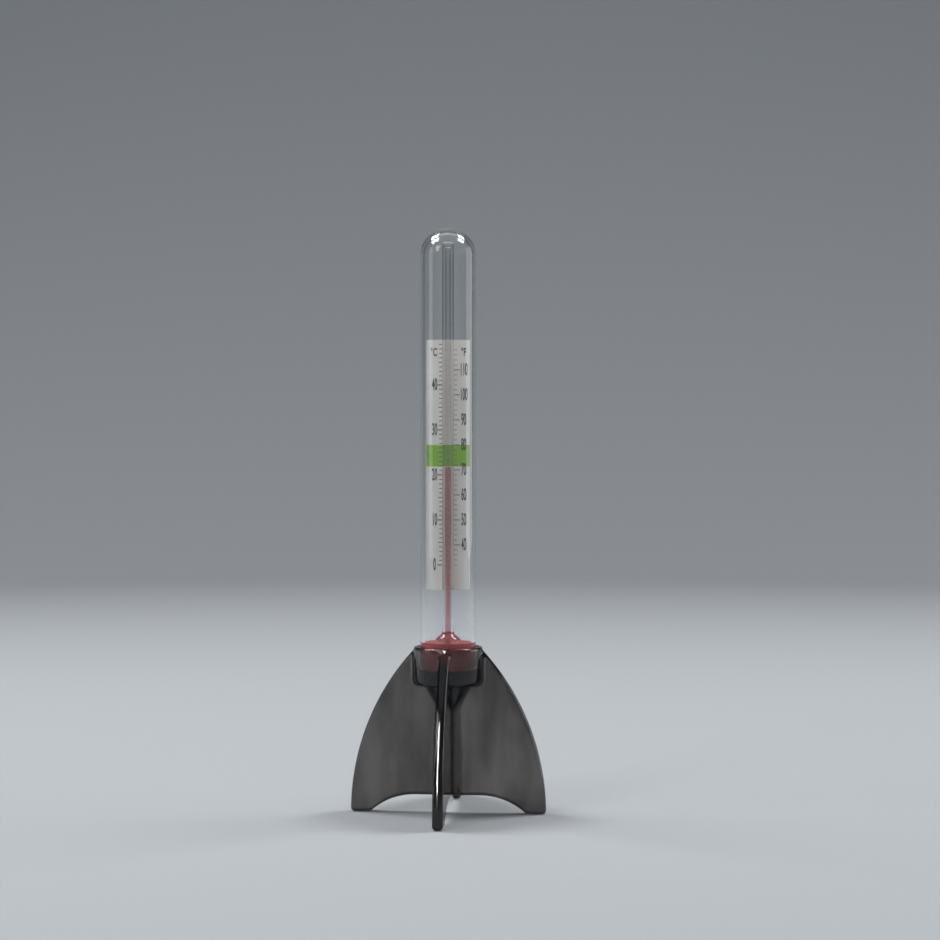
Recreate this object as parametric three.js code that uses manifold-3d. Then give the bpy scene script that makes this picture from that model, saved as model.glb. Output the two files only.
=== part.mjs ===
// Standing glass aquarium thermometer.
//
// A clear glass tube with a domed top holds a spirit-filled capillary in front of a printed scale
// card. Its lower end is potted with a red seal and stands in the cup of a moulded base with four
// fins that anchor it in gravel.
//
// Units are millimetres. The origin lies on the floor under the tube's axis, +Z is up, and the
// front is -Y. The fins point along X and Y; the tube is turned a little in its cup.

import * as THREE from 'three';
import { mergeVertices } from 'three/addons/utils/BufferGeometryUtils.js';
import Module from 'manifold-3d';

const wasm = await Module();
wasm.setup();

// Driving dimensions
const OVERALL_HEIGHT = 139;
const GAP = 0.3;                  // between pieces that touch each other
const ROUND_STEPS = 48;           // facets round the tube and the cup
const THIN_STEPS = 24;            // facets round the capillary
const CORNER_STEPS = 4;           // facets in a rounded corner

// Glass tube
const TUBE_RADIUS = 6.6;
const TUBE_WALL = 0.9;
const TUBE_BOTTOM = 34;
const TUBE_CORNER = 1.4;          // rounding where the wall turns in at the bottom
const TUBE_MOUTH_RADIUS = 4.8;    // the opening that the seal closes
const TUBE_YAW = THREE.MathUtils.degToRad(5.5);
const TUBE_BORE = TUBE_RADIUS - TUBE_WALL;
const DOME_CENTRE = OVERALL_HEIGHT - TUBE_RADIUS;
const DOME_STEPS = 8;

// Capillary and bulb
const STEM_OFFSET = 1.2;          // in front of the tube's axis
const STEM_RADIUS = 1.4;
const STEM_BORE = 0.75;
const STEM_TOP = 135.5;
const STEM_RIM = 0.5;
const BULB_RADIUS = 3;
const BULB_WALL = 0.6;
const BULB_BOTTOM = 36;
const BULB_SHOULDER = 41;
const NECK = 43;
const CAVITY_SHOULDER = 39.05;    // the glass is solid from here up, but for the bore
const CAVITY_NECK = 39.8;
const BULB_STEPS = 5;

// Spirit, shown at room temperature, and the scale that it is read on
const ZERO_CELSIUS = 58.8;
const MM_PER_DEGREE = 1.0714;
const ROOM_CELSIUS = 21.6;
const COLUMN_RADIUS = 0.45;
const COLUMN_FOOT = CAVITY_NECK + 0.2;
const COLUMN_TOP = ZERO_CELSIUS + ROOM_CELSIUS * MM_PER_DEGREE;

// Printed scale card
const CARD_WIDTH = 10.6;
const CARD_BOTTOM = 52.9;
const CARD_TOP = 112.4;
const CARD_THICKNESS = 0.3;
const CARD_FRONT = 0.5;           // the card's front face, behind the tube's axis

// Red seal
const SEAL_TOP = 40;
const SEAL_MENISCUS = 0.5;        // how far the seal creeps up the glass

// Cup of the base
const CUP_RADIUS = 8.2;
const CUP_RIM = 39.5;
const CUP_BOTTOM = 30.5;
const CUP_CORNER = 1.1;
const RIM_ROUNDING = 0.4;
const SOCKET_RADIUS = TUBE_RADIUS + GAP;
const SOCKET_FLOOR = TUBE_BOTTOM - GAP;
const CONE_TOP_RADIUS = 5.4;
const CONE_TIP = 23.4;            // height where the cone under the cup has run out
const CONE_TIP_RADIUS = 1.5;

// Fins of the base
const FIN_THICKNESS = 2.5;
const FIN_ROUNDING = 0.5;
const FIN_REACH = 23.4;           // from the axis to the outer edge of a foot
const FIN_ARC_RADIUS = 57;        // the outer edge, upright where it meets the floor
const FIN_ARC_STEPS = 14;
const FOOT_INNER = 18.5;
const FOOT_CORNER = 0.7;
const ARCH_HEIGHT = 4.1;
const ARCH_RADIUS = 16;
const ARCH_STEPS = 6;

const SMOKE_PLASTIC = { color: 0x1d2427, roughness: 0.22, metalness: 0 };
const CLEAR_GLASS = { color: 0xd6e2e4, roughness: 0.05, metalness: 0 };
const RED_SPIRIT = { color: 0xc4161c, roughness: 0.15, metalness: 0 };
const RED_RESIN = { color: 0x9c2426, roughness: 0.4, metalness: 0 };
const WHITE_CARD = { color: 0xf1efe9, roughness: 0.8, metalness: 0 };

const point = (x, y) => new THREE.Vector2(x, y);

// Points on an arc, both ends included. Angles are in degrees.
function arc(centreX, centreY, radius, from, to, steps) {
  const points = [];
  for (let i = 0; i <= steps; i += 1) {
    const angle = THREE.MathUtils.degToRad(from + ((to - from) * i) / steps);
    points.push(point(centreX + radius * Math.cos(angle), centreY + radius * Math.sin(angle)));
  }
  return points;
}

// A closed geometry with shared vertices, no empty triangles, and its faces pointing out.
function weld(geometry) {
  geometry.deleteAttribute('normal');
  geometry.deleteAttribute('uv');
  const merged = mergeVertices(geometry, 1e-4);
  const index = merged.getIndex().array;
  const kept = [];
  for (let i = 0; i < index.length; i += 3) {
    const [a, b, c] = index.slice(i, i + 3);
    if (a !== b && b !== c && c !== a) kept.push(a, b, c);
  }
  if (signedVolume(merged.getAttribute('position'), kept) < 0) kept.reverse();
  merged.setIndex(kept);
  return merged;
}

function signedVolume(position, index) {
  const corner = [new THREE.Vector3(), new THREE.Vector3(), new THREE.Vector3()];
  let total = 0;
  for (let i = 0; i < index.length; i += 3) {
    corner.forEach((vertex, k) => vertex.fromBufferAttribute(position, index[i + k]));
    total += corner[0].dot(corner[1].cross(corner[2])) / 6;
  }
  return total;
}

// A solid turned about +Z from a profile of (radius, height) points.
function turned(profile, steps) {
  const geometry = new THREE.LatheGeometry(profile, steps);
  geometry.rotateX(Math.PI / 2);
  return weld(geometry);
}

function toSolid(geometry) {
  return new wasm.Manifold(new wasm.Mesh({
    numProp: 3,
    vertProperties: new Float32Array(geometry.getAttribute('position').array),
    triVerts: new Uint32Array(geometry.getIndex().array),
  }));
}

function fromSolid(solid) {
  const mesh = solid.getMesh();
  const geometry = new THREE.BufferGeometry();
  geometry.setAttribute('position', new THREE.BufferAttribute(mesh.vertProperties, 3));
  geometry.setIndex(new THREE.BufferAttribute(mesh.triVerts, 1));
  return geometry;
}

function piece(name, geometry, look) {
  const plain = geometry.toNonIndexed();
  plain.computeVertexNormals();
  const mesh = new THREE.Mesh(plain, new THREE.MeshStandardMaterial(look));
  mesh.name = name;
  return mesh;
}

// --- base -------------------------------------------------------------------------------------

// The cup and the cone under it, turned in one profile from the cone's tip to the socket's floor.
function cupAndCone() {
  return turned([
    point(0, CONE_TIP),
    point(CONE_TIP_RADIUS, CONE_TIP),
    point(CONE_TOP_RADIUS, CUP_BOTTOM),
    ...arc(CUP_RADIUS - CUP_CORNER, CUP_BOTTOM + CUP_CORNER, CUP_CORNER, -90, 0, CORNER_STEPS),
    ...arc(CUP_RADIUS - RIM_ROUNDING, CUP_RIM - RIM_ROUNDING, RIM_ROUNDING, 0, 90, CORNER_STEPS),
    ...arc(SOCKET_RADIUS + RIM_ROUNDING, CUP_RIM - RIM_ROUNDING, RIM_ROUNDING, 90, 180,
      CORNER_STEPS),
    point(SOCKET_RADIUS, SOCKET_FLOOR),
    point(0, SOCKET_FLOOR),
  ], ROUND_STEPS);
}

// Half the outline of a pair of fins, from the middle of the arch to the top of the outer edge.
function finEdge() {
  const archStart = FOOT_INNER - Math.sqrt(ARCH_HEIGHT * (2 * ARCH_RADIUS - ARCH_HEIGHT));
  const archEnd = THREE.MathUtils.radToDeg(Math.acos((FOOT_INNER - archStart) / ARCH_RADIUS));
  const arcCentre = FIN_REACH - FIN_ARC_RADIUS;
  const lowest = THREE.MathUtils.radToDeg(Math.asin(FOOT_CORNER / FIN_ARC_RADIUS));
  const highest = THREE.MathUtils.radToDeg(Math.asin(CUP_RIM / FIN_ARC_RADIUS));
  return [
    ...arc(archStart, ARCH_HEIGHT - ARCH_RADIUS, ARCH_RADIUS, 90, archEnd, ARCH_STEPS),
    ...arc(FIN_REACH - FOOT_CORNER, FOOT_CORNER, FOOT_CORNER, -90, 0, CORNER_STEPS).slice(0, -1),
    ...arc(arcCentre, 0, FIN_ARC_RADIUS, lowest, highest, FIN_ARC_STEPS),
  ];
}

// Two opposite fins as one upright plate in the XZ plane, with its edges rounded over.
function finPair() {
  const edge = finEdge();
  const mirrored = edge.map((p) => point(-p.x, p.y)).reverse();
  const plate = new THREE.ExtrudeGeometry(new THREE.Shape([...edge, ...mirrored]), {
    depth: FIN_THICKNESS - 2 * FIN_ROUNDING,
    bevelThickness: FIN_ROUNDING,
    bevelSize: FIN_ROUNDING,
    bevelOffset: -FIN_ROUNDING,
    bevelSegments: 2,
  });
  plate.translate(0, 0, FIN_ROUNDING - FIN_THICKNESS / 2);
  plate.rotateX(Math.PI / 2);
  return weld(plate);
}

function finBase() {
  const socket = turned([
    point(0, SOCKET_FLOOR),
    point(SOCKET_RADIUS, SOCKET_FLOOR),
    point(SOCKET_RADIUS, CUP_RIM + GAP),
    point(0, CUP_RIM + GAP),
  ], ROUND_STEPS);
  const across = toSolid(finPair());
  const fins = across.add(across.rotate([0, 0, 90]));
  const solid = fins.subtract(toSolid(socket)).add(toSolid(cupAndCone()));
  return piece('fin_base', fromSolid(solid), SMOKE_PLASTIC);
}

// --- glass tube and what it holds -------------------------------------------------------------

function glassEnvelope() {
  const innerCorner = TUBE_CORNER - TUBE_WALL;
  const corner = [TUBE_RADIUS - TUBE_CORNER, TUBE_BOTTOM + TUBE_CORNER];
  return piece('glass_envelope', turned([
    ...arc(0, DOME_CENTRE, TUBE_RADIUS, 90, 0, DOME_STEPS),
    ...arc(...corner, TUBE_CORNER, 0, -90, CORNER_STEPS),
    point(TUBE_MOUTH_RADIUS, TUBE_BOTTOM),
    point(TUBE_MOUTH_RADIUS, TUBE_BOTTOM + TUBE_WALL),
    ...arc(...corner, innerCorner, -90, 0, CORNER_STEPS),
    ...arc(0, DOME_CENTRE, TUBE_BORE, 0, 90, DOME_STEPS),
  ], ROUND_STEPS), CLEAR_GLASS);
}

// A bulb's outline from its lowest point, out to a radius, and in from the shoulder to the neck.
function bulbOutline(radius, shoulder, neckRadius, neck) {
  const curve = [];
  for (let i = 0; i <= BULB_STEPS; i += 1) {
    const t = i / BULB_STEPS;
    const ease = (1 + Math.cos(Math.PI * t)) / 2;
    curve.push(point(neckRadius + (radius - neckRadius) * ease, shoulder + (neck - shoulder) * t));
  }
  return [...arc(0, BULB_BOTTOM + BULB_RADIUS, radius, -90, 0, BULB_STEPS), ...curve];
}

function cavityOutline(radius, neckRadius) {
  return bulbOutline(radius, CAVITY_SHOULDER, neckRadius, CAVITY_NECK);
}

// The capillary with its bulb: the bore is open at the top, where the glass is drawn to a rim.
function capillaryStem() {
  const inner = cavityOutline(BULB_RADIUS - BULB_WALL, STEM_BORE).reverse();
  return piece('capillary_stem', turned([
    ...bulbOutline(BULB_RADIUS, BULB_SHOULDER, STEM_RADIUS, NECK),
    ...arc(STEM_RADIUS - STEM_RIM, STEM_TOP - STEM_RIM, STEM_RIM, 0, 90, CORNER_STEPS),
    point(STEM_BORE, STEM_TOP),
    ...inner,
  ], THIN_STEPS), CLEAR_GLASS);
}

// The spirit in the bulb, up to just under the neck.
function spiritReservoir() {
  const outline = cavityOutline(BULB_RADIUS - BULB_WALL - GAP, COLUMN_RADIUS);
  const top = outline[outline.length - 1];
  return piece('spirit_reservoir', turned([...outline, point(0, top.y)], THIN_STEPS), RED_SPIRIT);
}

// The thread of spirit in the bore.
function spiritColumn() {
  const meniscus = arc(0, COLUMN_TOP - COLUMN_RADIUS, COLUMN_RADIUS, 0, 90, CORNER_STEPS);
  return piece('spirit_column', turned([
    point(0, COLUMN_FOOT),
    point(COLUMN_RADIUS, COLUMN_FOOT),
    ...meniscus,
  ], THIN_STEPS), RED_SPIRIT);
}

function scaleCard() {
  const card = new THREE.BoxGeometry(CARD_WIDTH, CARD_THICKNESS, CARD_TOP - CARD_BOTTOM);
  card.translate(0, CARD_FRONT + CARD_THICKNESS / 2, (CARD_TOP + CARD_BOTTOM) / 2);
  return piece('scale_card', weld(card), WHITE_CARD);
}

// The potting that closes the tube and holds the bulb, with a pocket in the bulb's shape.
function bottomSeal() {
  const radius = TUBE_BORE - GAP;
  const floor = TUBE_BOTTOM + TUBE_WALL + GAP;
  const innerCorner = TUBE_CORNER - TUBE_WALL;
  const potting = turned([
    point(0, floor),
    ...arc(radius - innerCorner, floor + innerCorner, innerCorner, -90, 0, CORNER_STEPS),
    point(radius, SEAL_TOP + SEAL_MENISCUS),
    point(radius - SEAL_MENISCUS, SEAL_TOP),
    point(0, SEAL_TOP),
  ], ROUND_STEPS);
  const pocketOutline = bulbOutline(BULB_RADIUS + GAP, BULB_SHOULDER, STEM_RADIUS + GAP, NECK);
  const pocket = turned([...pocketOutline, point(0, NECK)], THIN_STEPS);
  pocket.translate(0, -STEM_OFFSET, 0);
  const solid = toSolid(potting).subtract(toSolid(pocket));
  return piece('bottom_seal', fromSolid(solid), RED_RESIN);
}

// The capillary and its spirit, in front of the tube's axis.
function capillary() {
  const group = new THREE.Group();
  group.add(capillaryStem(), spiritReservoir(), spiritColumn());
  group.position.y = -STEM_OFFSET;
  return group;
}

function thermometer() {
  const group = new THREE.Group();
  group.add(glassEnvelope(), capillary(), scaleCard(), bottomSeal());
  group.rotation.z = TUBE_YAW;
  return group;
}

const standingThermometer = new THREE.Group();
standingThermometer.add(finBase(), thermometer());

export default standingThermometer;
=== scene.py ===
"""Looks of the standing glass aquarium thermometer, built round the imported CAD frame.

Shapes are drawn in millimetres in the row frame and turned into metres when they are finished.
"""
import math

import bmesh
import bpy
from mathutils import Matrix, Vector


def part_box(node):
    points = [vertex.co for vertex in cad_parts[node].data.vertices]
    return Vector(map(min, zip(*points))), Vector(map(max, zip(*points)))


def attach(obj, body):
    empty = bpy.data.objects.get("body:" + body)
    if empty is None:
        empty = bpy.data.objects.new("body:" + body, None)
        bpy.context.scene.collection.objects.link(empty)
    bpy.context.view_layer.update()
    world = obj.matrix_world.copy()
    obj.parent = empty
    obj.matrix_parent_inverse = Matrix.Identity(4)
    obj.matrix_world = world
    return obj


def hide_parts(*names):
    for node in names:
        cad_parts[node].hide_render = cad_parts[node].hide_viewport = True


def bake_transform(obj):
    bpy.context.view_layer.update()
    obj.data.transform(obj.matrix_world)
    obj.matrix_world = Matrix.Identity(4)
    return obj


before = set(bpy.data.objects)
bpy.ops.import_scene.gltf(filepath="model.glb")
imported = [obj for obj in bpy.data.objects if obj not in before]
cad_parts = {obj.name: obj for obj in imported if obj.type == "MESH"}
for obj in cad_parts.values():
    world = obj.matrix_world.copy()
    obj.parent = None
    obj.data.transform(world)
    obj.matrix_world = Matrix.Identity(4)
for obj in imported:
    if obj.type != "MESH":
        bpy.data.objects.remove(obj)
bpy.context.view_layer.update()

MM = 0.001


def box_mm(node):
    """A node's lowest and highest corners in millimetres."""
    low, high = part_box(node)
    return low / MM, high / MM


# Heights and the fins' reach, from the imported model, in millimetres
TUBE_BOTTOM, TUBE_TOP = (corner.z for corner in box_mm("glass_envelope"))
CUP_RIM = box_mm("fin_base")[1].z
BULB_BOTTOM, STEM_TOP = (corner.z for corner in box_mm("capillary_stem"))
COLUMN_FOOT, COLUMN_TOP = (corner.z for corner in box_mm("spirit_column"))
CARD_BOTTOM, CARD_TOP = (corner.z for corner in box_mm("scale_card"))
FIN_REACH = box_mm("fin_base")[1].x

# The tube stands a little turned in its cup, and the camera looks straight at its scale.
TUBE_YAW = math.radians(5.5)
TUBE_TURN = Matrix.Rotation(TUBE_YAW, 4, "Z")

# The glass tube, in millimetres as all the object's sizes are
TUBE_RADIUS = 6.6
TUBE_WALL = 0.9
TUBE_CORNER = 1.4
TUBE_MOUTH_RADIUS = 4.8
TUBE_BORE = TUBE_RADIUS - TUBE_WALL
DOME_THICKNESS = 1.3

# The capillary with its bulb, and the spirit in it
STEM_OFFSET = 1.2           # how far the capillary stands in front of the tube's axis
STEM_RADIUS = 1.4
STEM_CAP = 0.5
STEM_PLAIN = 2.0            # the capillary's rings stop this far below its top
STEM_RINGS = 24
BORE_END = 1.6              # the bore stops this far below the top of the capillary
BORE_DOME = 0.5
BULB_RADIUS = 3.0
BULB_WALL = 0.6
BULB_SHOULDER = 41.0
NECK = 43.0
CAVITY_SHOULDER = 39.05
CAVITY_NECK = 39.8
COLUMN_RADIUS = 0.45
COLUMN_MENISCUS = 0.4
COLUMN_RINGS = 48
OVERLAP = 0.02              # how far a liquid or resin runs into the glass that it wets

# The card
CARD_WIDTH = 10.6
CARD_THICKNESS = 0.3
CARD_FRONT = 0.5            # the printed face, behind the tube's axis
CARD_CORNER = 0.35
PRINT_THICKNESS = 0.02

# Its print
ZERO_CELSIUS = 58.8         # height of the mark for 0 degrees
MM_PER_CELSIUS = 1.0714
BAND_CELSIUS = (21.9, 26.7)
CELSIUS_TICK_RIGHT = -1.35
CELSIUS_LABEL = -3.25
CELSIUS_UNIT = -3.4
FAHRENHEIT_LABEL = 3.75
UNIT_AT = 47.2              # degrees Celsius level with the two unit signs
LABEL_HEIGHT = 2.9
LABEL_SQUEEZE = 0.31        # width of the figures, as a part of the font's own
UNIT_HEIGHT = 1.9
UNIT_SQUEEZE = 0.55
FIGURE_HEIGHT = 0.72        # of the built-in font, for a text size of 1
BOLDNESS = 0.022            # thickens the figures, for a text size of 1

# The seal in the tube's mouth
SEAL_BOTTOM = 34.15
SEAL_TOP = 40.0
SEAL_MENISCUS = 0.5
SEAL_CREEP = 1.6            # how far in from the glass the resin's surface curves up
SEAL_EDGE = 0.1
SEAL_FOOT_SLOPE = 0.8

# The moulded base
CUP_RADIUS = 8.2
CUP_BOTTOM = 30.5
CUP_CORNER = 1.1
RIM_ROUNDING = 0.4
SOCKET_RADIUS = 6.9
SOCKET_FLOOR = 33.7
CONE_TOP_RADIUS = 5.4
CONE_TIP = 23.4
CONE_TIP_RADIUS = 1.5

FIN_THICKNESS = 2.5
FIN_CROWN = 0.6             # how far a fin's edge is rounded off at its two faces
FIN_ARC_RADIUS = 57
FIN_ROOT = -1.0             # a fin runs this far past the axis, into its opposite
FIN_IN_WALL = 0.5           # how far a fin's top stops outside the socket, inside the cup's wall
FIN_UNDER_SOCKET = 1.0
FIN_BELOW_RIM = 0.1
FIN_TOP_DROP = 1.0          # from the rim down to a fin's top inside the cup's wall
FOOT_INNER = 18.5
FOOT_CORNER = 0.7
ARCH_HEIGHT = 4.1
ARCH_RADIUS = 16
MOULD_VOXEL = 0.3
MOULD_SMOOTHING = 6

# Segments round the wide pieces and round the thin ones
ROUND_STEPS = 128
THIN_STEPS = 48
SHARP_ANGLE = math.radians(35)

# The camera, square to the scale, aimed beside the tube and above the whole object's middle
CAMERA_DISTANCE = 430
CAMERA_LENS = 69.2
CAMERA_AIM_RIGHT = 5.21
CAMERA_AIM_UP = 81.4

CAMERA_RIGHT = Vector((math.cos(TUBE_YAW), math.sin(TUBE_YAW), 0))
CAMERA_AWAY = Vector((-math.sin(TUBE_YAW), math.cos(TUBE_YAW), 0))
UP = Vector((0, 0, 1))

# The stage and the lamps are drawn in metres.
WALL_RADIUS = 1.4
COVE_RADIUS = 0.5
WALL_HEIGHT = 1.5
FLOOR_RINGS = (0, 0.3, 0.6)  # these keep the floor's shading flat round the object
WALL_RING = 1.0             # and this one keeps the wall's upright
STAGE_DROP = 0.00005        # the floor lies this far under the feet, so that no two faces meet
STAGE_STEPS = 96
LAMP_AIM_HEIGHT = 0.07
BOUNCES = 24


# --- mesh helpers -----------------------------------------------------------------------------

def arc(centre, radius, start, end, steps):
    """(x, y) points on an arc, both ends included; angles in degrees."""
    points = []
    for i in range(steps + 1):
        angle = math.radians(start + (end - start) * i / steps)
        points.append((centre[0] + radius * math.cos(angle), centre[1] + radius * math.sin(angle)))
    return points


def between(start, end, parts):
    """The points that cut a stretch into equal parts, without its two ends."""
    return [start + (end - start) * i / parts for i in range(1, parts)]


def ellipse(centre, across, up, start, end, steps):
    """(x, y) points on an ellipse, as an arc gives them on a circle."""
    points = arc((0, 0), 1, start, end, steps)
    return [(centre[0] + across * x, centre[1] + up * y) for x, y in points]


def lathe(bm, profile, steps):
    """Adds a surface turned about Z from (radius, height) points. It is a closed solid if they
    start and end on the axis, or if none of them is on it, and an open sheet if only one end is."""
    rings = []
    for radius, height in profile:
        if radius < 1e-6:
            rings.append([bm.verts.new((0, 0, height))])
        else:
            angles = [2 * math.pi * i / steps for i in range(steps)]
            rings.append([bm.verts.new((radius * math.cos(a), radius * math.sin(a), height))
                          for a in angles])
    pairs = list(zip(rings, rings[1:]))
    if len(rings[0]) > 1:
        pairs.append((rings[-1], rings[0]))
    for low, high in pairs:
        join_rings(bm, low, high, steps)


def join_rings(bm, low, high, steps):
    """Adds the faces between two rings of points. Either ring may be a single point."""
    for i in range(steps):
        j = (i + 1) % steps
        corners = [low[i % len(low)], low[j % len(low)], high[j % len(high)], high[i % len(high)]]
        corners = list(dict.fromkeys(corners))
        if len(corners) > 2:
            bm.faces.new(corners)


def prism(bm, outline, thickness, place):
    """Adds a plate in the XZ plane from (x, z) points, centred on y = 0, then put in its place."""
    front, back = ([bm.verts.new(place @ Vector((x, side * thickness / 2, z))) for x, z in outline]
                   for side in (-1, 1))
    bm.faces.new(front)
    bm.faces.new(back[::-1])
    for i in range(len(outline)):
        j = (i + 1) % len(outline)
        bm.faces.new((front[j], front[i], back[i], back[j]))


def drawn_in(outline, distance):
    """An anticlockwise (x, z) outline, moved inwards."""
    moved = []
    for i, (x, z) in enumerate(outline):
        before = outline[i - 1]
        after = outline[(i + 1) % len(outline)]
        along = Vector((after[0] - before[0], after[1] - before[1])).normalized()
        moved.append((x - along.y * distance, z + along.x * distance))
    return moved


def crowned_plate(bm, outline, thickness, crown, turn, steps=10):
    """Adds a plate like a prism's, with its edges rounded across the whole thickness."""
    layers = []
    for i in range(steps + 1):
        across = 2 * i / steps - 1
        edge = drawn_in(outline, crown * (1 - math.sqrt(1 - across * across)))
        layers.append([bm.verts.new(turn @ Vector((x, across * thickness / 2, z)))
                       for x, z in edge])
    bm.faces.new(layers[0])
    bm.faces.new(layers[-1][::-1])
    for near, far in zip(layers, layers[1:]):
        join_rings(bm, near, far, len(outline))


def finished(bm, name):
    """The mesh of a bmesh, shaded smooth but for its sharp edges."""
    bmesh.ops.recalc_face_normals(bm, faces=bm.faces)
    mesh = bpy.data.meshes.new(name)
    bm.to_mesh(mesh)
    bm.free()
    mesh.shade_smooth()
    mesh.set_sharp_from_angle(angle=SHARP_ANGLE)
    return mesh


def turned(name, profile, steps):
    """The mesh that a profile makes on the lathe."""
    bm = bmesh.new()
    lathe(bm, profile, steps)
    return finished(bm, name)


def linked(name, data):
    """An object in the scene for a mesh, curve, lamp or camera."""
    obj = bpy.data.objects.new(name, data)
    bpy.context.scene.collection.objects.link(obj)
    return obj


def applied(obj):
    """A copy of what an object's modifiers make of its mesh; the object itself goes."""
    graph = bpy.context.evaluated_depsgraph_get()
    mesh = bpy.data.meshes.new_from_object(obj.evaluated_get(graph))
    bpy.data.objects.remove(obj)
    return mesh


def placed(name, mesh, material, body, slot, *nodes, offset=0.0, yaw=TUBE_TURN):
    """Makes a piece from a mesh in millimetres: moved forward, turned, scaled to metres, and put
    on its body."""
    mesh.transform(Matrix.Scale(MM, 4) @ yaw @ Matrix.Translation((0, -offset, 0)))
    mesh.materials.clear()
    mesh.materials.append(material)
    obj = linked(name, mesh)
    if nodes:
        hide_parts(*nodes)
    if body is not None:
        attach(obj, body)
    return obj


# --- material helpers -------------------------------------------------------------------------

def principled(name, **inputs):
    """A material with one Principled shader. Inputs are named as the shader names them, with
    underscores for spaces."""
    material = bpy.data.materials.new(name)
    material.use_nodes = True
    shader = material.node_tree.nodes["Principled BSDF"]
    for key, value in inputs.items():
        shader.inputs[key.replace("_", " ")].default_value = value
    return material, shader


def link(material, source, target):
    material.node_tree.links.new(source, target)


def noise(material, size, detail=3.0, stretch=(1, 1, 1)):
    """Noise with features of about size millimetres, drawn out along an axis by a small stretch."""
    tree = material.node_tree
    place = tree.nodes.new("ShaderNodeTexCoord")
    mapping = tree.nodes.new("ShaderNodeMapping")
    mapping.inputs["Scale"].default_value = [k / (size * MM) for k in stretch]
    texture = tree.nodes.new("ShaderNodeTexNoise")
    texture.inputs["Scale"].default_value = 1
    texture.inputs["Detail"].default_value = detail
    tree.links.new(place.outputs["Object"], mapping.inputs["Vector"])
    tree.links.new(mapping.outputs["Vector"], texture.inputs["Vector"])
    return texture.outputs["Fac"]


def ranged(material, value, low, high, start=0.35, end=0.65):
    """Goes from low to high as a value goes from start to end. The default ones suit a noise."""
    node = material.node_tree.nodes.new("ShaderNodeMapRange")
    node.inputs["From Min"].default_value = start
    node.inputs["From Max"].default_value = end
    node.inputs["To Min"].default_value = low
    node.inputs["To Max"].default_value = high
    link(material, value, node.inputs["Value"])
    return node.outputs["Result"]


def mixed(material, factor, first, second):
    """A colour that goes from first to second with a factor; the colours may be sockets."""
    node = material.node_tree.nodes.new("ShaderNodeMix")
    node.data_type = "RGBA"
    link(material, factor, node.inputs["Factor"])
    for socket, colour in ((node.inputs[6], first), (node.inputs[7], second)):
        if isinstance(colour, tuple):
            socket.default_value = (*colour, 1)
        else:
            link(material, colour, socket)
    return node.outputs[2]


def bumped(material, shader, height, depth, before=None):
    """Raises the surface by depth millimetres where height is 1, on top of a bump made before."""
    node = material.node_tree.nodes.new("ShaderNodeBump")
    node.inputs["Strength"].default_value = 1
    node.inputs["Distance"].default_value = depth * MM
    link(material, height, node.inputs["Height"])
    if before is not None:
        link(material, before, node.inputs["Normal"])
    link(material, node.outputs["Normal"], shader.inputs["Normal"])
    return node.outputs["Normal"]


def lets_lamps_through(material, shader, tint):
    """Lets light reach what the glass encloses."""
    tree = material.node_tree
    path = tree.nodes.new("ShaderNodeLightPath")
    clear = tree.nodes.new("ShaderNodeBsdfTransparent")
    clear.inputs["Color"].default_value = (*tint, 1)
    mix = tree.nodes.new("ShaderNodeMixShader")
    tree.links.new(path.outputs["Is Shadow Ray"], mix.inputs["Fac"])
    tree.links.new(shader.outputs["BSDF"], mix.inputs[1])
    tree.links.new(clear.outputs["BSDF"], mix.inputs[2])
    tree.links.new(mix.outputs["Shader"], tree.nodes["Material Output"].inputs["Surface"])


def dyed(material, colour, density):
    """Absorbs light inside the piece, so that it is darker where it is thicker."""
    inside = material.node_tree.nodes.new("ShaderNodeVolumeAbsorption")
    inside.inputs["Color"].default_value = (*colour, 1)
    inside.inputs["Density"].default_value = density
    link(material, inside.outputs["Volume"],
         material.node_tree.nodes["Material Output"].inputs["Volume"])


# --- materials --------------------------------------------------------------------------------

def in_cup_wall(material):
    """1 in the cup's thin wall, 0 in the fins and the cone, with a soft change between them. It
    keeps the fins' painted shade off the cup's wall.
    """
    tree = material.node_tree
    place = tree.nodes.new("ShaderNodeTexCoord")
    flat = tree.nodes.new("ShaderNodeVectorMath")
    flat.operation = "MULTIPLY"
    flat.inputs[1].default_value = (1, 1, 0)
    radius = tree.nodes.new("ShaderNodeVectorMath")
    radius.operation = "LENGTH"
    split = tree.nodes.new("ShaderNodeSeparateXYZ")
    both = tree.nodes.new("ShaderNodeMath")
    both.operation = "MULTIPLY"
    link(material, place.outputs["Object"], flat.inputs[0])
    link(material, flat.outputs["Vector"], radius.inputs[0])
    link(material, place.outputs["Object"], split.inputs["Vector"])
    near = ranged(material, radius.outputs["Value"], 1, 0,
                  start=(CUP_RADIUS + 0.1) * MM, end=(CUP_RADIUS + 1) * MM)
    high = ranged(material, split.outputs["Z"], 0, 1,
                  start=(CUP_BOTTOM - 0.5) * MM, end=(SOCKET_FLOOR - 0.5) * MM)
    link(material, near, both.inputs[0])
    link(material, high, both.inputs[1])
    return both.outputs["Value"]


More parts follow.
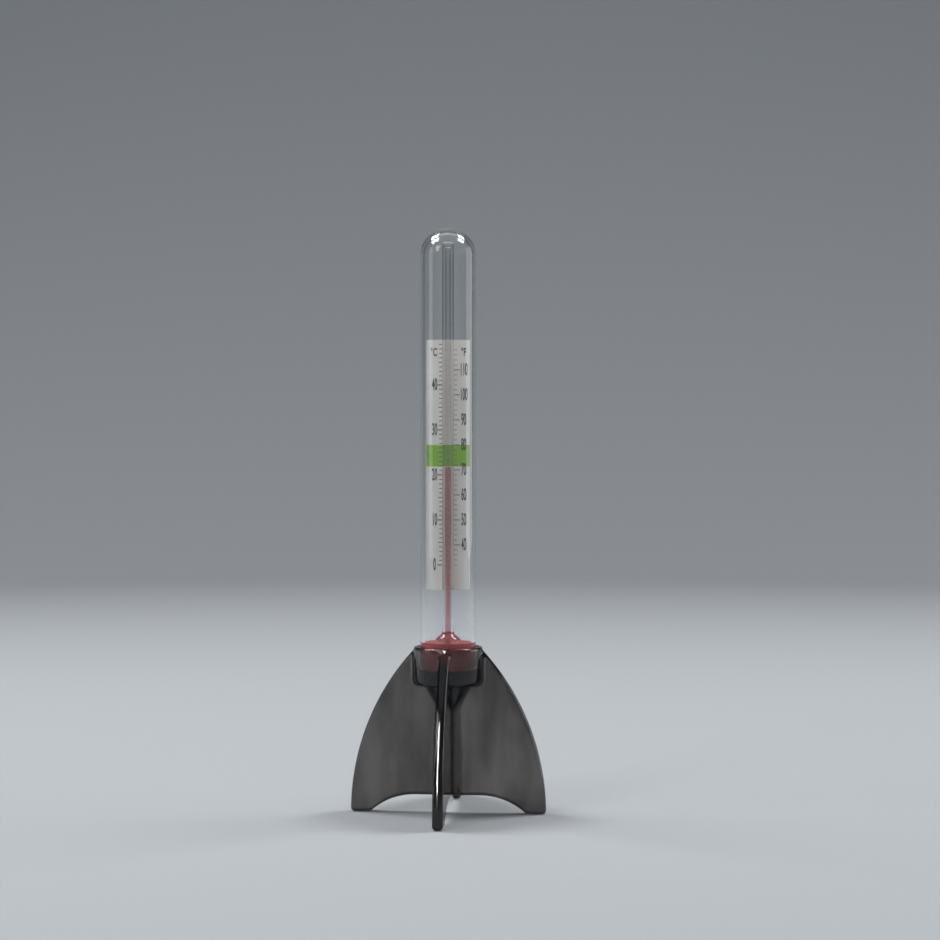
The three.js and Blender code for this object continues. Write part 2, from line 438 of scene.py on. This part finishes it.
def smoke_plastic():
    """Glossy polystyrene, dyed smoke grey right through, so it darkens with depth. Its fins also
    carry painted shade: a much darker tint than the cup's wall.
    """
    material, shader = principled(
        "smoke plastic", Transmission_Weight=1.0, IOR=1.55, Specular_IOR_Level=0.36)
    # Painted shade: the fins are tinted far darker than the cup's wall, with a random mottle through
    # it; the cup's wall keeps a near-clear tint.
    streaks = ranged(material, noise(material, 7, stretch=(1, 1, 0.35)), 0, 1)
    fins = mixed(material, streaks, (0.20, 0.185, 0.185), (0.56, 0.54, 0.54))
    link(material, mixed(material, in_cup_wall(material), fins, (1.0, 0.96, 0.95)),
         shader.inputs["Base Color"])
    scuff = noise(material, 0.9, detail=6, stretch=(1, 1, 0.25))
    link(material, ranged(material, scuff, 0.03, 0.11), shader.inputs["Roughness"])
    sink = bumped(material, shader, noise(material, 6, detail=1), 0.05)
    bumped(material, shader, noise(material, 0.35, detail=4, stretch=(1, 1, 0.4)), 0.002,
           before=sink)
    dyed(material, (0.29, 0.25, 0.23), 780)
    return material


def clear_glass(name, colour, shade, line_size, line_depth):
    """Drawn glass, with faint lines along its length. Its shadow takes the colour of its shade."""
    material, shader = principled(
        name, Base_Color=(*colour, 1), Transmission_Weight=1.0, IOR=1.47, Specular_IOR_Level=0.5)
    film = noise(material, 5, detail=4)
    link(material, ranged(material, film, 0.0, 0.025), shader.inputs["Roughness"])
    lines = noise(material, line_size, detail=2, stretch=(1, 1, 0.02))
    bumped(material, shader, lines, line_depth)
    lets_lamps_through(material, shader, shade)
    return material


def red_spirit():
    """Clear liquid, dyed red."""
    material, shader = principled(
        "red spirit", Transmission_Weight=1.0, IOR=1.36, Specular_IOR_Level=0.5)
    cloud = noise(material, 1.5, stretch=(1, 1, 0.15))
    link(material, mixed(material, cloud, (0.94, 0.85, 0.85), (0.99, 0.93, 0.93)),
         shader.inputs["Base Color"])
    link(material, ranged(material, cloud, 0.0, 0.06), shader.inputs["Roughness"])
    dyed(material, (0.78, 0.12, 0.13), 900)
    return material


def red_resin():
    """Cast resin, a cloudy dark red that some light passes through."""
    material, shader = principled(
        "red resin", Transmission_Weight=0.85, IOR=1.5, Specular_IOR_Level=0.2)
    cloud = noise(material, 4, detail=3)
    link(material, mixed(material, cloud, (0.80, 0.12, 0.13), (0.89, 0.18, 0.19)),
         shader.inputs["Base Color"])
    grain = noise(material, 0.6, detail=4)
    link(material, ranged(material, grain, 0.14, 0.26), shader.inputs["Roughness"])
    bumped(material, shader, noise(material, 2, detail=1), 0.02)
    dyed(material, (0.99, 0.14, 0.14), 300)
    return material


def card_paper():
    """Uncoated white card with fine fibre."""
    material, shader = principled("card paper", IOR=1.45, Sheen_Weight=0.08)
    mottle = noise(material, 3.5, detail=5)
    link(material, mixed(material, mottle, (0.66, 0.645, 0.625), (0.72, 0.71, 0.69)),
         shader.inputs["Base Color"])
    fibre = noise(material, 0.16, detail=5, stretch=(1, 1, 0.35))
    link(material, ranged(material, fibre, 0.62, 0.82), shader.inputs["Roughness"])
    bumped(material, shader, fibre, 0.012)
    return material


def ink(name, dark, light):
    """Screen ink, a little uneven in density."""
    material, shader = principled(name, IOR=1.48)
    density = noise(material, 0.25, detail=4)
    link(material, mixed(material, density, dark, light), shader.inputs["Base Color"])
    link(material, ranged(material, noise(material, 0.12), 0.35, 0.55), shader.inputs["Roughness"])
    return material


def stage_paper():
    """Pale matt paper, shaded darker to the object's left and right so that its glass edges show."""
    material, shader = principled("stage", IOR=1.45, Specular_IOR_Level=0.2, Roughness=0.8)
    tree = material.node_tree
    place = tree.nodes.new("ShaderNodeTexCoord")
    across = tree.nodes.new("ShaderNodeVectorMath")
    across.operation = "DOT_PRODUCT"
    across.inputs[1].default_value = CAMERA_RIGHT / WALL_RADIUS
    link(material, place.outputs["Object"], across.inputs[0])
    size = tree.nodes.new("ShaderNodeMath")
    size.operation = "ABSOLUTE"
    link(material, across.outputs["Value"], size.inputs[0])
    shade = ranged(material, size.outputs[0], 0, 1, start=0.4, end=0.9)
    link(material, mixed(material, shade, (0.42, 0.44, 0.46), (0.18, 0.19, 0.20)),
         shader.inputs["Base Color"])
    return material


# --- base -------------------------------------------------------------------------------------

def fin_outline():
    """One fin, from the arch beside the axis round the foot and up the outer edge to the cup."""
    # The arch runs level and then curves down, to meet the floor at the foot's inner edge.
    arch_start = FOOT_INNER - math.sqrt(ARCH_HEIGHT * (2 * ARCH_RADIUS - ARCH_HEIGHT))
    arch_end = math.degrees(math.acos((FOOT_INNER - arch_start) / ARCH_RADIUS))
    centre = FIN_REACH - FIN_ARC_RADIUS
    lowest = math.degrees(math.asin(FOOT_CORNER / FIN_ARC_RADIUS))
    inside_cup = SOCKET_RADIUS + FIN_IN_WALL
    at_wall = math.acos((inside_cup - centre) / FIN_ARC_RADIUS)
    at_rim = math.asin((CUP_RIM - FIN_BELOW_RIM) / FIN_ARC_RADIUS)
    highest = math.degrees(min(at_wall, at_rim))
    return [
        (FIN_ROOT, ARCH_HEIGHT),
        *arc((arch_start, ARCH_HEIGHT - ARCH_RADIUS), ARCH_RADIUS, 90, arch_end, 20),
        *arc((FIN_REACH - FOOT_CORNER, FOOT_CORNER), FOOT_CORNER, -90, 0, 6)[:-1],
        *arc((centre, 0), FIN_ARC_RADIUS, lowest, highest, 60),
        (inside_cup, CUP_RIM - FIN_TOP_DROP),
        (inside_cup, SOCKET_FLOOR - FIN_UNDER_SOCKET),
        (FIN_ROOT, SOCKET_FLOOR - FIN_UNDER_SOCKET),
    ]


def cup_profile():
    """The cone under the cup, the cup's outside, its rim and the socket, from tip to floor."""
    return [
        (0, CONE_TIP),
        (CONE_TIP_RADIUS, CONE_TIP),
        (CONE_TOP_RADIUS, CUP_BOTTOM),
        *arc((CUP_RADIUS - CUP_CORNER, CUP_BOTTOM + CUP_CORNER), CUP_CORNER, -90, 0, 8),
        *arc((CUP_RADIUS - RIM_ROUNDING, CUP_RIM - RIM_ROUNDING), RIM_ROUNDING, 0, 90, 6),
        *arc((SOCKET_RADIUS + RIM_ROUNDING, CUP_RIM - RIM_ROUNDING), RIM_ROUNDING, 90, 180, 6),
        (SOCKET_RADIUS, SOCKET_FLOOR),
        (0, SOCKET_FLOOR),
    ]


def moulded_base():
    """Fins and cup run into one moulding, with soft edges and small fillets where they meet."""
    bm = bmesh.new()
    for quarter in range(4):
        turn = Matrix.Rotation(quarter * math.pi / 2, 4, "Z")
        crowned_plate(bm, fin_outline(), FIN_THICKNESS, FIN_CROWN, turn)
    lathe(bm, cup_profile(), ROUND_STEPS)
    rough = linked("base_rough", finished(bm, "base_rough"))
    voxels = rough.modifiers.new("mould", "REMESH")
    voxels.mode = "VOXEL"
    voxels.voxel_size = MOULD_VOXEL
    soften = rough.modifiers.new("soften", "SMOOTH")
    soften.factor = 0.5
    soften.iterations = MOULD_SMOOTHING
    mesh = applied(rough)
    mesh.shade_smooth()
    return mesh


# --- glass tube and what it holds -------------------------------------------------------------

def tube_mesh():
    """The tube's wall: domed and a little thicker at the top, turned in at the bottom."""
    dome = TUBE_TOP - TUBE_RADIUS
    inner_corner = TUBE_CORNER - TUBE_WALL
    corner = (TUBE_RADIUS - TUBE_CORNER, TUBE_BOTTOM + TUBE_CORNER)
    straight = between(dome, corner[1], 12)
    inner_top = TUBE_RADIUS - DOME_THICKNESS
    return turned("tube", [
        *arc((0, dome), TUBE_RADIUS, 90, 0, 32),
        *[(TUBE_RADIUS, z) for z in straight],
        *arc(corner, TUBE_CORNER, 0, -90, 10),
        (TUBE_MOUTH_RADIUS, TUBE_BOTTOM),
        (TUBE_MOUTH_RADIUS, TUBE_BOTTOM + TUBE_WALL),
        *arc(corner, inner_corner, -90, 0, 6),
        *[(TUBE_BORE, z) for z in reversed(straight)],
        *ellipse((0, dome), TUBE_BORE, inner_top, 0, 90, 32),
    ], ROUND_STEPS)


def bulb_outline(radius, shoulder, neck_radius, neck, steps=16):
    """From a bulb's lowest point out to a radius, and in from the shoulder to the neck."""
    curve = []
    for i in range(steps + 1):
        t = i / steps
        ease = (1 + math.cos(math.pi * t)) / 2
        curve.append((neck_radius + (radius - neck_radius) * ease, shoulder + (neck - shoulder) * t))
    return [*arc((0, BULB_BOTTOM + BULB_RADIUS), radius, -90, 0, steps), *curve]


def stem_mesh():
    """The capillary with its bulb, closed at the top, and its bore."""
    bore = COLUMN_RADIUS - OVERLAP
    cavity = bulb_outline(BULB_RADIUS - BULB_WALL, CAVITY_SHOULDER, bore, CAVITY_NECK)
    rungs = between(NECK, STEM_TOP - STEM_PLAIN, STEM_RINGS)
    bore_top = STEM_TOP - BORE_END
    bm = bmesh.new()
    lathe(bm, [
        *bulb_outline(BULB_RADIUS, BULB_SHOULDER, STEM_RADIUS, NECK),
        *[(STEM_RADIUS, z) for z in rungs],
        *arc((STEM_RADIUS - STEM_CAP, STEM_TOP - STEM_CAP), STEM_CAP, 0, 90, 8),
        (0, STEM_TOP),
    ], THIN_STEPS)
    lathe(bm, [
        *cavity,
        *[(bore, z) for z in rungs],
        *ellipse((0, bore_top), bore, BORE_DOME, 0, 90, 8),
    ], THIN_STEPS)
    return finished(bm, "capillary")


def reservoir_mesh():
    """The spirit that fills the bulb."""
    outline = bulb_outline(BULB_RADIUS - BULB_WALL + OVERLAP, CAVITY_SHOULDER, COLUMN_RADIUS,
                           CAVITY_NECK)
    return turned("reservoir", [*outline, (0, outline[-1][1])], THIN_STEPS)


def column_mesh():
    """The thread of spirit, with enough rings to follow its rise and fall."""
    length = COLUMN_TOP - COLUMN_FOOT - 1.5 * COLUMN_MENISCUS
    shaft = [(COLUMN_RADIUS, COLUMN_FOOT + length * i / COLUMN_RINGS)
             for i in range(COLUMN_RINGS + 1)]
    meniscus = ellipse((0, COLUMN_TOP - COLUMN_MENISCUS), COLUMN_RADIUS, COLUMN_MENISCUS, 0, 90, 8)
    return turned("column", [(0, COLUMN_FOOT), *shaft, *meniscus], THIN_STEPS)


def seal_mesh():
    """The red potting in the tube's mouth. It creeps up the glass."""
    wall = TUBE_BORE + OVERLAP
    inner_corner = TUBE_CORNER - TUBE_WALL
    corner = (TUBE_RADIUS - TUBE_CORNER, TUBE_BOTTOM + TUBE_CORNER)
    mouth = TUBE_MOUTH_RADIUS + OVERLAP
    creep = [(wall - SEAL_CREEP * t, SEAL_TOP + SEAL_MENISCUS * (1 - t) ** 3)
             for t in (i / 10 for i in range(11))]
    return turned("seal", [
        (0, SEAL_BOTTOM - SEAL_EDGE),
        (mouth - SEAL_FOOT_SLOPE, SEAL_BOTTOM),
        (mouth, SEAL_BOTTOM + SEAL_EDGE),
        (mouth, TUBE_BOTTOM + TUBE_WALL - OVERLAP),
        *arc(corner, inner_corner + OVERLAP, -90, 0, 6),
        *creep,
        (0, SEAL_TOP - SEAL_EDGE),
    ], ROUND_STEPS)


# --- card and print ---------------------------------------------------------------------------

def rounded_rectangle(left, right, bottom, top, radius):
    """(x, z) points round a rectangle, anticlockwise from its lower right corner."""
    return [
        *arc((right - radius, bottom + radius), radius, -90, 0, 6),
        *arc((right - radius, top - radius), radius, 0, 90, 6),
        *arc((left + radius, top - radius), radius, 90, 180, 6),
        *arc((left + radius, bottom + radius), radius, 180, 270, 6),
    ]


def card_mesh():
    """The card, behind the capillary, with its corners a little rounded."""
    half = CARD_WIDTH / 2
    bm = bmesh.new()
    outline = rounded_rectangle(-half, half, CARD_BOTTOM, CARD_TOP, CARD_CORNER)
    prism(bm, outline, CARD_THICKNESS, Matrix.Translation((0, CARD_FRONT + CARD_THICKNESS / 2, 0)))
    return finished(bm, "card")


def celsius(degrees):
    """The height on the card of a temperature in degrees Celsius."""
    return ZERO_CELSIUS + degrees * MM_PER_CELSIUS


def fahrenheit(degrees):
    """The height on the card of a temperature in degrees Fahrenheit."""
    return celsius((degrees - 32) / 1.8)


def print_bar(bm, left, right, bottom, top, lift=0.0):
    """One printed bar, standing just proud of the card's face."""
    outline = [(left, bottom), (right, bottom), (right, top), (left, top)]
    depth = CARD_FRONT - PRINT_THICKNESS / 2 - lift
    prism(bm, outline, PRINT_THICKNESS, Matrix.Translation((0, depth, 0)))


def band_mesh():
    """The green comfort band, right across the card."""
    half = CARD_WIDTH / 2 - PRINT_THICKNESS
    bm = bmesh.new()
    print_bar(bm, -half, half, celsius(BAND_CELSIUS[0]), celsius(BAND_CELSIUS[1]))
    return finished(bm, "band")


def celsius_tick(degrees):
    """A mark's left end, right end and half thickness. The tens are the longest."""
    if degrees % 10 == 0:
        return CELSIUS_TICK_RIGHT - 1.2, CELSIUS_TICK_RIGHT, 0.12
    if degrees % 5 == 0:
        return CELSIUS_TICK_RIGHT - 1.0, CELSIUS_TICK_RIGHT, 0.09
    return CELSIUS_TICK_RIGHT - 0.8, CELSIUS_TICK_RIGHT, 0.09


def fahrenheit_tick(degrees):
    """A mark's left end, right end and half thickness. The tens are the longest."""
    if degrees % 10 == 0:
        return 1.2, 2.75, 0.09
    return 1.45, 2.1, 0.06


def ticks_mesh():
    """A mark for each degree Celsius on the left, and for every second Fahrenheit on the right."""
    marks = [(celsius(degrees), *celsius_tick(degrees)) for degrees in range(0, 50)]
    marks += [(fahrenheit(degrees), *fahrenheit_tick(degrees)) for degrees in range(32, 120, 2)]
    bm = bmesh.new()
    for height, left, right, half in marks:
        print_bar(bm, left, right, height - half, height + half, PRINT_THICKNESS)
    return finished(bm, "ticks")


def add_text(bm, words, x, z, height, squeeze):
    """Adds words in the built-in font, upright on the card's face, centred at (x, z)."""
    curve = bpy.data.curves.new("words", "FONT")
    curve.body = words
    curve.size = height / FIGURE_HEIGHT
    curve.align_x = "CENTER"
    curve.align_y = "CENTER"
    curve.extrude = PRINT_THICKNESS / 2
    curve.resolution_u = 5
    curve.offset = BOLDNESS * curve.size
    mesh = applied(linked("words", curve))
    stand = Matrix.Rotation(math.pi / 2, 4, "X")
    depth = CARD_FRONT - 1.5 * PRINT_THICKNESS
    mesh.transform(Matrix.Translation((x, depth, z)) @ stand @ Matrix.Diagonal((squeeze, 1, 1, 1)))
    bm.from_mesh(mesh)
    bpy.data.meshes.remove(mesh)


def numbers_mesh():
    """The numbers of both scales and their two unit signs."""
    bm = bmesh.new()
    for degrees in range(0, 50, 10):
        add_text(bm, str(degrees), CELSIUS_LABEL, celsius(degrees), LABEL_HEIGHT, LABEL_SQUEEZE)
    for degrees in range(40, 120, 10):
        add_text(bm, str(degrees), FAHRENHEIT_LABEL, fahrenheit(degrees), LABEL_HEIGHT,
                 LABEL_SQUEEZE)
    add_text(bm, "°C", CELSIUS_UNIT, celsius(UNIT_AT), UNIT_HEIGHT, UNIT_SQUEEZE)
    add_text(bm, "°F", FAHRENHEIT_LABEL, celsius(UNIT_AT), UNIT_HEIGHT, UNIT_SQUEEZE)
    bmesh.ops.remove_doubles(bm, verts=bm.verts, dist=1e-4)
    return finished(bm, "numbers")


# --- the pieces -------------------------------------------------------------------------------

def add_base():
    """Returns the base, because one lamp is for it alone."""
    return placed("moulded_base", moulded_base(), smoke_plastic(), "base", "smoke_plastic",
                  "fin_base", yaw=Matrix())


def add_tube():
    glass = clear_glass("tube glass", (0.98, 0.99, 0.987), (0.97, 0.98, 0.975), 1.4, 0.012)
    placed("glass_tube", tube_mesh(), glass, "tube", "tube_glass", "glass_envelope")
    stem_glass = clear_glass("capillary glass", (0.90, 0.89, 0.88), (0.66, 0.60, 0.60), 0.7, 0.01)
    placed("capillary", stem_mesh(), stem_glass, "tube", "capillary_glass", "capillary_stem",
           offset=STEM_OFFSET)
    placed("resin_seal", seal_mesh(), red_resin(), "tube", "red_resin", "bottom_seal")


def add_spirit():
    """The spirit in the bulb goes on the tube's body; the thread goes on no body, with its placing
    baked into its mesh.
    """
    spirit = red_spirit()
    placed("bulb_spirit", reservoir_mesh(), spirit, "tube", "red_spirit", "spirit_reservoir",
           offset=STEM_OFFSET)
    thread = placed("spirit_thread", column_mesh(), spirit, None, "red_spirit", "spirit_column",
                    offset=STEM_OFFSET)
    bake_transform(thread)


def add_card():
    """The card, and its ink as thin raised pieces."""
    black = ink("dark ink", (0.055, 0.052, 0.055), (0.105, 0.098, 0.10))
    green = ink("green ink", (0.20, 0.40, 0.05), (0.26, 0.48, 0.08))
    placed("scale_card_paper", card_mesh(), card_paper(), "tube", "printed_card", "scale_card")
    placed("comfort_band", band_mesh(), green, "tube", "printed_card")
    placed("scale_lines", ticks_mesh(), black, "tube", "printed_card")
    placed("scale_numbers", numbers_mesh(), black, "tube", "printed_card")


# --- camera, stage and lights -----------------------------------------------------------------

def add_camera():
    data = bpy.data.cameras.new("camera")
    data.sensor_width = 36
    data.lens = CAMERA_LENS
    data.clip_start = 0.01
    data.clip_end = 50
    camera = linked("camera", data)
    aim = CAMERA_RIGHT * CAMERA_AIM_RIGHT + UP * CAMERA_AIM_UP
    camera.location = (aim - CAMERA_AWAY * CAMERA_DISTANCE) * MM
    camera.rotation_euler = CAMERA_AWAY.to_track_quat("-Z", "Y").to_euler()
    bpy.context.scene.camera = camera


def add_stage():
    """A floor that sweeps up into a round wall, so no edge shows from any side."""
    cove = arc((WALL_RADIUS - COVE_RADIUS, COVE_RADIUS - STAGE_DROP), COVE_RADIUS, -90, 0, 24)
    bm = bmesh.new()
    lathe(bm, [
        *[(radius, -STAGE_DROP) for radius in FLOOR_RINGS],
        *cove,
        *[(WALL_RADIUS, height - STAGE_DROP) for height in (WALL_RING, WALL_HEIGHT)],
    ], STAGE_STEPS)
    mesh = bpy.data.meshes.new("stage")
    bm.to_mesh(mesh)
    bm.free()
    mesh.shade_smooth()
    mesh.materials.append(stage_paper())
    linked("stage", mesh)


def softbox(name, azimuth, elevation, distance, width, height, radiance,
            through_glass=False, only_on=None):
    """A soft light aimed at the object. Its azimuth is in degrees from the camera's side, positive
    to the camera's right. It may show through glass, and it may light only one piece."""
    data = bpy.data.lights.new(name, "AREA")
    data.shape = "RECTANGLE"
    data.size = width
    data.size_y = height
    data.energy = radiance * math.pi * width * height
    lamp = linked(name, data)
    side, rise = math.radians(azimuth), math.radians(elevation)
    flat = CAMERA_RIGHT * math.sin(side) - CAMERA_AWAY * math.cos(side)
    towards = flat * math.cos(rise) + UP * math.sin(rise)
    lamp.location = UP * LAMP_AIM_HEIGHT + towards * distance
    lamp.rotation_euler = (-towards).to_track_quat("-Z", "Y").to_euler()
    lamp.visible_camera = False
    lamp.visible_transmission = through_glass
    if only_on is not None:
        lit = bpy.data.collections.new(name)
        lit.objects.link(only_on)
        lamp.light_linking.receiver_collection = lit


def add_lights(base):
    softbox("overhead left", -113, 56, 0.9, 0.32, 0.32, 16.0, through_glass=True)
    softbox("overhead right", 113, 56, 0.9, 0.28, 0.28, 16.0, through_glass=True)
    softbox("key", -45, 27, 0.95, 0.26, 0.34, 5.5)
    softbox("front strip", -14, 20, 1.05, 0.2, 0.7, 46.0, only_on=base)
    softbox("side left", -76, 3, 1.0, 0.3, 0.9, 2.0)
    softbox("side right", 100, 3, 1.0, 0.7, 0.9, 2.0)
    world = bpy.data.worlds.new("studio")
    bpy.context.scene.world = world
    world.use_nodes = True
    background = world.node_tree.nodes["Background"]
    background.inputs["Color"].default_value = (0.92, 0.95, 1.0, 1)
    background.inputs["Strength"].default_value = 0.45


def set_light_paths():
    """Enough bounces to see through the tube, the capillary and two fins at once."""
    cycles = bpy.context.scene.cycles
    cycles.max_bounces = BOUNCES
    cycles.transmission_bounces = BOUNCES
    cycles.transparent_max_bounces = BOUNCES


def set_colours():
    """Shows colours as they are, with no film curve over them."""
    bpy.context.scene.view_settings.view_transform = "Standard"


add_camera()
add_stage()
set_light_paths()
set_colours()
add_lights(add_base())
add_tube()
add_spirit()
add_card()
